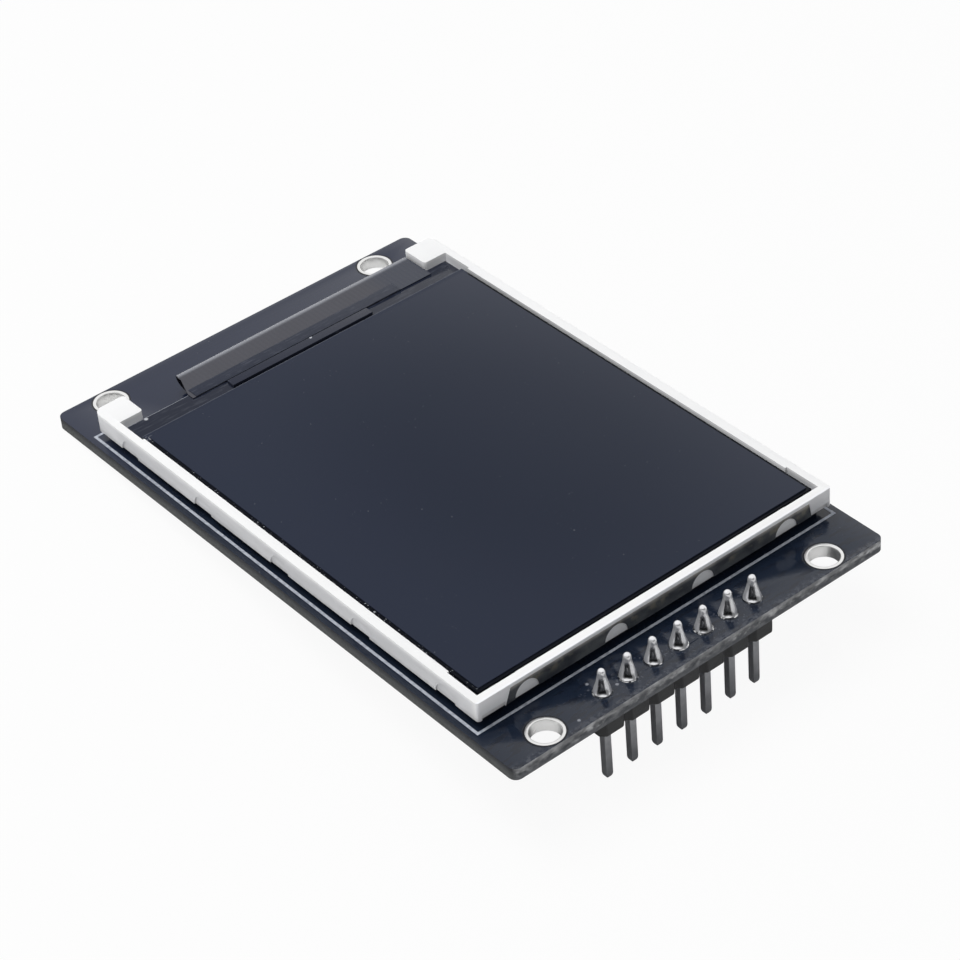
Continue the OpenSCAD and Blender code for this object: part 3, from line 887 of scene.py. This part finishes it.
# Small pale flecks at two given spots on the glass.
ledge_flecks = ((-14.92, 21.5), (3.91, 19.55))
colour = flecked(colour, x, y, ledge_flecks, 0.22, chart(200, 203, 208))
close(
    place,
    {
        "Base Color": colour,
        "Roughness": 0.08 + cloud * 0.05,
        "IOR": 1.25,
        "Normal": relief(cloud, 0.002),
    },
)
coat, place = new_finish("polarizer_hard_coat")
drift = clouds(place, 14.0, 2.0)
tone = clouds(place, 9.0, 2.0)
dust = ease(clouds(place, 0.14, 1.0), 0.79, 0.82) * ease(clouds(place, 4.0), 0.52, 0.6)
colour = tint(drift, chart(44, 49, 65), chart(47, 51, 65))
colour = tint(tone * 0.5, colour, chart(40, 49, 63))
x, y = axes(place)[:2]
# Painted reflection: the screen is darker round a spot right of its middle and lighter towards its
# edges.
right_of = x - 5.0
beyond = y + 3.0
from_middle = (right_of * right_of + beyond * beyond * 0.5) ** 0.5
colour = tint(ease(from_middle, 22.0, 6.0) * 0.6, colour, chart(31, 37, 51))
colour = tint(dust * 0.5, colour, chart(190, 192, 198))
close(
    place,
    {
        "Base Color": colour,
        "Roughness": 0.12 + tone * 0.06 + dust * 0.4,
        "IOR": 1.16,
        "Normal": relief(drift + dust * 2.0, 0.002),
    },
)
border, place = new_finish("black_border_glass")
x, y = axes(place)[:2]
wipe = clouds(place, 2.0)
screen_low, screen_high = cad_box("front_polarizer")
left_edge = ease(x, screen_low.x + 0.1, screen_low.x - 0.05)
flecks = ease(clouds(place, 0.16, 1.0), 0.7, 0.74) * left_edge
far_strip = ease(y, screen_high.y - 0.6, screen_high.y - 0.1)
# Painted highlight: a thin pale line along the glass beyond the screen's far edge.
far_edge_highlight = ease(y, screen_high.y + 0.46, screen_high.y + 0.54)
colour = tint(wipe, chart(12, 14, 20), chart(20, 23, 30))
colour = tint(far_strip, colour, chart(47, 52, 66))
colour = tint(far_edge_highlight * 0.5, colour, chart(126, 130, 138))
colour = tint(flecks * 0.8, colour, chart(196, 200, 206))
colour = flecked(colour, x, y, [(-16.2, 18.7)], 0.36, chart(206, 209, 214))
close(
    place,
    {
        "Base Color": colour,
        "Roughness": 0.2 + wipe * 0.1,
        "IOR": 1.12,
        "Normal": relief(wipe, 0.002),
    },
)
refinish("rim_tape", rim_black)
refinish("rear_polarizer", coat)
back_glass = redrawn("lower_glass", "back_glass", "panel_glass", glass)
round_edges(back_glass, 0.025, 2)
filter_glass = redrawn("upper_glass", "filter_glass", "panel_glass", border)
round_edges(filter_glass, 0.025, 2)
screen = redrawn("front_polarizer", "screen_polarizer", "polarizer", coat)
round_edges(screen, 0.02, 2)

# Driver chip. A bare sliver of black silicon with a lapped back, bonded face down on
# the glass ledge between the screen and the ribbon.

silicon, place = new_finish("chip_silicon")
x, y = axes(place)[:2]
lap = clouds(stretched(place, 0.4, 3.0, 3.0), 0.6)
colour = tint(lap, chart(34, 38, 52), chart(46, 50, 64))
colour = flecked(colour, x, y, [(1.56, 20.6)], 0.16, chart(196, 199, 206))
close(
    place,
    {
        "Base Color": colour,
        "Roughness": 0.2 + lap * 0.1,
        "IOR": 1.28,
        "Normal": relief(lap, 0.004),
    },
)
chip = redrawn("driver_chip", "driver_die", "chip_silicon", silicon)
round_edges(chip, 0.03, 2)

# Ribbon. A flexible printed circuit bonded to the ledge, turned once round behind the
# display and soldered to the board. Copper lanes show faintly under its dark cover film.

ribbon_low, ribbon_high = cad_box("display_ribbon")
ribbon_film, place = new_finish("ribbon_cover_film")
x, y, z = axes(place)
lane = x * 2.2
lanes = ease(abs(lane - lane.node("Math", {"operation": "ROUND"}, {0: lane})), 0.2, 0.34)
sheen = clouds(place, 3.0)
colour = tint(sheen, chart(44, 45, 56), chart(52, 53, 64))
colour = tint(lanes * 0.05, colour, chart(40, 38, 44))
colour = tint(ease(x + sheen * 2.0, 10.2, 13.0), colour, chart(36, 42, 58))
# Painted highlight: a pale band along the top of the bend.
painted_bend_highlight = ease(y, ribbon_high.y - 1.3, ribbon_high.y - 0.8)
painted_bend_highlight = painted_bend_highlight * ease(z, ribbon_high.z - 1.1, ribbon_high.z - 0.7)
colour = tint(painted_bend_highlight * (0.6 + sheen * 0.4), colour, chart(136, 139, 148))
close(
    place,
    {
        "Base Color": colour,
        "Roughness": 0.16 + sheen * 0.1,
        "Normal": relief(1 - lanes, 0.003),
    },
)
flex = 0.1
bend_r = (ribbon_high.z - ribbon_low.z) / 2
bend_y = ribbon_high.y - bend_r
bend_z = (ribbon_high.z + ribbon_low.z) / 2
bond_near = 20.95
shoulder_y = 22.6
left, right = ribbon_low.x, ribbon_high.x
bend_left = left + 0.75
bend_taper = 1.0
bend_steps = 24
tail_start = bend_y - 1.4
tail = (board_mid_x - 5.2, board_mid_x + 5.2)
# (y, z) of the outer skin, the direction away from it, and the ribbon's edges in x
rows = [
    (bond_near, ribbon_high.z, 0, 1, left, right),
    (ledge_far, ribbon_high.z, 0, 1, left, right),
    (shoulder_y, ribbon_high.z, 0, 1, left + 0.3, right),
    (bend_y - 0.4, ribbon_high.z, 0, 1, bend_left, right),
]
for k in range(bend_steps + 1):
    a = math.pi / 2 - math.pi * k / bend_steps
    ny, nz = math.cos(a), math.sin(a)
    inset = bend_taper * k / bend_steps
    rows.append((bend_y + bend_r * ny, bend_z + bend_r * nz, ny, nz, bend_left + inset, right))
rows.append((tail_start + 0.02, ribbon_low.z, 0, -1, bend_left + bend_taper, right))
rows.append((tail_start, ribbon_low.z, 0, -1, *tail))
rows.append((ribbon_low.y, ribbon_low.z, 0, -1, *tail))
points = []
for py, pz, ny, nz, *sides in rows:
    for depth in (0, flex):
        for px in sides:
            points.append((px, py - ny * depth, pz - nz * depth))
faces = [(0, 1, 3, 2)]
for k in range(len(rows) - 1):
    a, b = 4 * k, 4 * k + 4
    faces += [
        (a, a + 1, b + 1, b),
        (a + 2, b + 2, b + 3, a + 3),
        (a, b, b + 2, a + 2),
        (a + 1, a + 3, b + 3, b + 1),
    ]
last = 4 * (len(rows) - 1)
faces.append((last, last + 2, last + 3, last + 1))
cut_edge, place = new_finish("ribbon_cut_edge")
layers = clouds(stretched(place, 1.0, 1.0, 6.0), 0.1)
close(
    place,
    {
        "Base Color": tint(layers, chart(13, 14, 19), chart(27, 28, 35)),
        "Roughness": 0.5 + layers * 0.2,
        "Normal": relief(layers, 0.01),
    },
)
finishes = [ribbon_film, cut_edge]
ribbon = drawn("ribbon", points, faces, finishes, ["display_ribbon"])
for face in ribbon.data.polygons:
    if abs(face.normal.x) > 0.5:
        face.material_index = 1
round_edges(ribbon, 0.02, 2, 50)

refinish("ribbon_pads", plating)

# Cover tape. A strip of black film laid over the chip's ledge and the ribbon's bond,
# slightly rippled and frayed where it was pressed down.

cover_tape, place = new_finish("ledge_cover_tape")
ripple = clouds(stretched(place, 0.5, 1.5, 1.0), 1.0)
frayed = ease(clouds(stretched(place, 0.4, 2.5, 1.0), 0.5, 4.0), 0.52, 0.68)
colour = tint(ripple, chart(45, 49, 61), chart(53, 57, 69))
close(
    place,
    {
        "Base Color": tint(frayed * 0.35, colour, chart(88, 91, 102)),
        "Roughness": 0.25 + ripple * 0.15,
        "IOR": 1.2,
        "Normal": relief(ripple, 0.02),
    },
)
ledge_tape = redrawn("ledge_tape", "ledge_cover_tape", "black_tape", cover_tape)
round_edges(ledge_tape, 0.015, 2)

# Parts on the back. A regulator and a backlight switch in small moulded packages, and
# two-ended chip parts, all soldered flat to tinned pads.

moulded, place = new_finish("package_moulding")
grain = clouds(place, 0.07, 2.0)
close(
    place,
    {
        "Base Color": tint(grain, chart(24, 24, 26), chart(38, 38, 41)),
        "Roughness": 0.5 + grain * 0.2,
        "Normal": relief(grain, 0.015),
    },
)
for node in ("regulator", "transistor"):
    body = redrawn(f"{node}_body", f"{node}_package", "black_moulding", moulded)
    round_edges(body, 0.1, 2)
    legs = redrawn(f"{node}_leads", f"{node}_legs", "contact_metal", plating)
    round_edges(legs, 0.035, 2)

refinish("back_pads", plating)


def two_ended(node, name, slot, face, ends):
    """A chip part with its finish changing from the body to the metal caps."""
    low, high = cad_box(node)
    cap_length = 0.36
    part = redrawn(node, name, slot, face, ends)
    for polygon in part.data.polygons:
        px = polygon.center.x / MM
        if min(px - low.x, high.x - px) < cap_length:
            polygon.material_index = 1
    round_edges(part, 0.04, 2)


ceramic, place = new_finish("ceramic_tan")
bake = clouds(place, 0.2)
close(
    place,
    {
        "Base Color": tint(bake, chart(148, 120, 92), chart(172, 144, 112)),
        "Roughness": 0.45 + bake * 0.15,
        "Normal": relief(bake, 0.008),
    },
)
overglaze, place = new_finish("resistor_overglaze")
z = axes(place)[2]
drip = clouds(place, 0.2)
side = ease(z, board_low.z - 0.4, board_low.z - 0.3)
close(
    place,
    {
        "Base Color": tint(side, chart(24, 24, 27), chart(226, 224, 218)),
        "Roughness": 0.3 + drip * 0.15,
        "Normal": relief(drip, 0.008),
    },
)
for i in (1, 2, 3):
    two_ended(f"capacitor_{i}", f"chip_capacitor_{i}", "ceramic_part", ceramic, plating)
    two_ended(f"resistor_{i}", f"chip_resistor_{i}", "resistor_part", overglaze, plating)

# The studio. The module lies as it would on a table, on its far edge and the contacts'
# ends, on a pale floor under plain soft light.

far_edge = Vector((0, board_high.y, board_low.z))
pin_ends = Vector((0, pin_y, pin_boxes[0][0].z))
rise = far_edge - pin_ends
reach = 3000.0
across = Vector((reach, 0, 0))
along = rise.normalized() * reach
mesh = bpy.data.meshes.new("table")
corners = [pin_ends + sx * across + sy * along for sx, sy in ((-1, -1), (1, -1), (1, 1), (-1, 1))]
mesh.from_pydata([corner * MM for corner in corners], [], [(0, 1, 2, 3)])
table = bpy.data.objects.new("table", mesh)
bpy.context.scene.collection.objects.link(table)
table.visible_shadow = False

paper, place = new_finish("white_paper_sweep")
fibre = clouds(place, 3.0)
diffuse = place.node(
    "BsdfDiffuse", inputs={"Color": tint(fibre, chart(222, 222, 222), chart(226, 226, 226))}
)
glow = place.node("Emission", inputs={"Color": (1.0, 1.0, 1.0, 1.0), "Strength": 1.0})
rays = place.node("LightPath", out="Is Camera Ray")
through = place.node("LightPath", out="Is Transmission Ray")
seen = rays.sum("MAXIMUM", rays, through) * 0.93
lit = place.node("MixShader", inputs={0: seen, 1: diffuse, 2: glow})
under = place.node("NewGeometry", out="Backfacing")
clear = place.node("BsdfTransparent")
shown = place.node("MixShader", inputs={0: under, 1: lit, 2: clear})
place.node("OutputMaterial", inputs={"Surface": shown})
mesh.materials.append(paper)

world = bpy.data.worlds.new("studio")
bpy.context.scene.world = world
world.use_nodes = True
world.node_tree.nodes.clear()
sky = Wire(world.node_tree)
rays = sky.node("LightPath", out="Is Camera Ray")
shiny = sky.node("LightPath", out="Is Glossy Ray")
through = sky.node("LightPath", out="Is Transmission Ray")
look = sky.node("TexCoord", out="Generated")
near_left = (-0.58, -0.81, 0.0)
toward = look.node("VectorMath", {"operation": "DOT_PRODUCT"}, {0: look, 1: near_left}, "Value")
height = look.node("SeparateXYZ", inputs={0: look}, out=2)
dim = ease(toward, 0.15, 0.5) * ease(height, 0.56, 0.36)
plain = rays.sum("MAXIMUM", rays, through)
gloss = shiny * (1.0 - dim * 0.97)
soft_light = (1.0 - shiny) * (0.42 - dim * 0.12) * ease(height, -0.3, -0.1)
strength = plain + (1.0 - plain) * (gloss + soft_light)
light = sky.node("Background", inputs={"Color": (1.0, 1.0, 1.0, 1.0), "Strength": strength})
sky.node("OutputWorld", inputs={"Surface": light})


def lamp(name, spot, size, power):
    """A soft square lamp, placed in millimetres and aimed at the middle of the module."""
    data = bpy.data.lights.new(name, "AREA")
    data.size = size * MM
    data.energy = power
    panel = bpy.data.objects.new(name, data)
    panel.location = Vector(spot) * MM
    panel.rotation_euler = (-Vector(spot)).to_track_quat("-Z", "Y").to_euler()
    bpy.context.scene.collection.objects.link(panel)
    panel.visible_glossy = False
    panel.visible_camera = False


lamp("overhead", (-120, 60, 420), 260, 1.36)
lamp("left_side", (-420, 40, 130), 220, 0.04)
lamp("from_below", (60, -80, -420), 260, 2.4)

camera_data = bpy.data.cameras.new("camera")
camera_data.sensor_width = 36.0
camera_data.lens = 115.451
camera_data.clip_start = 0.01
camera_data.clip_end = 10.0
camera = bpy.data.objects.new("camera", camera_data)
view_right = Vector((0.76861602, -0.63563655, -0.07208043))
view_up = Vector((0.4383667, 0.44128367, 0.78300917))
facing = Matrix((view_right, view_up, view_right.cross(view_up))).transposed()
stand = Vector((-114.506, -159.513, 154.629)) * MM
camera.matrix_world = Matrix.Translation(stand) @ facing.to_4x4()
bpy.context.scene.collection.objects.link(camera)
bpy.context.scene.camera = camera
bpy.context.scene.view_settings.view_transform = "Standard"
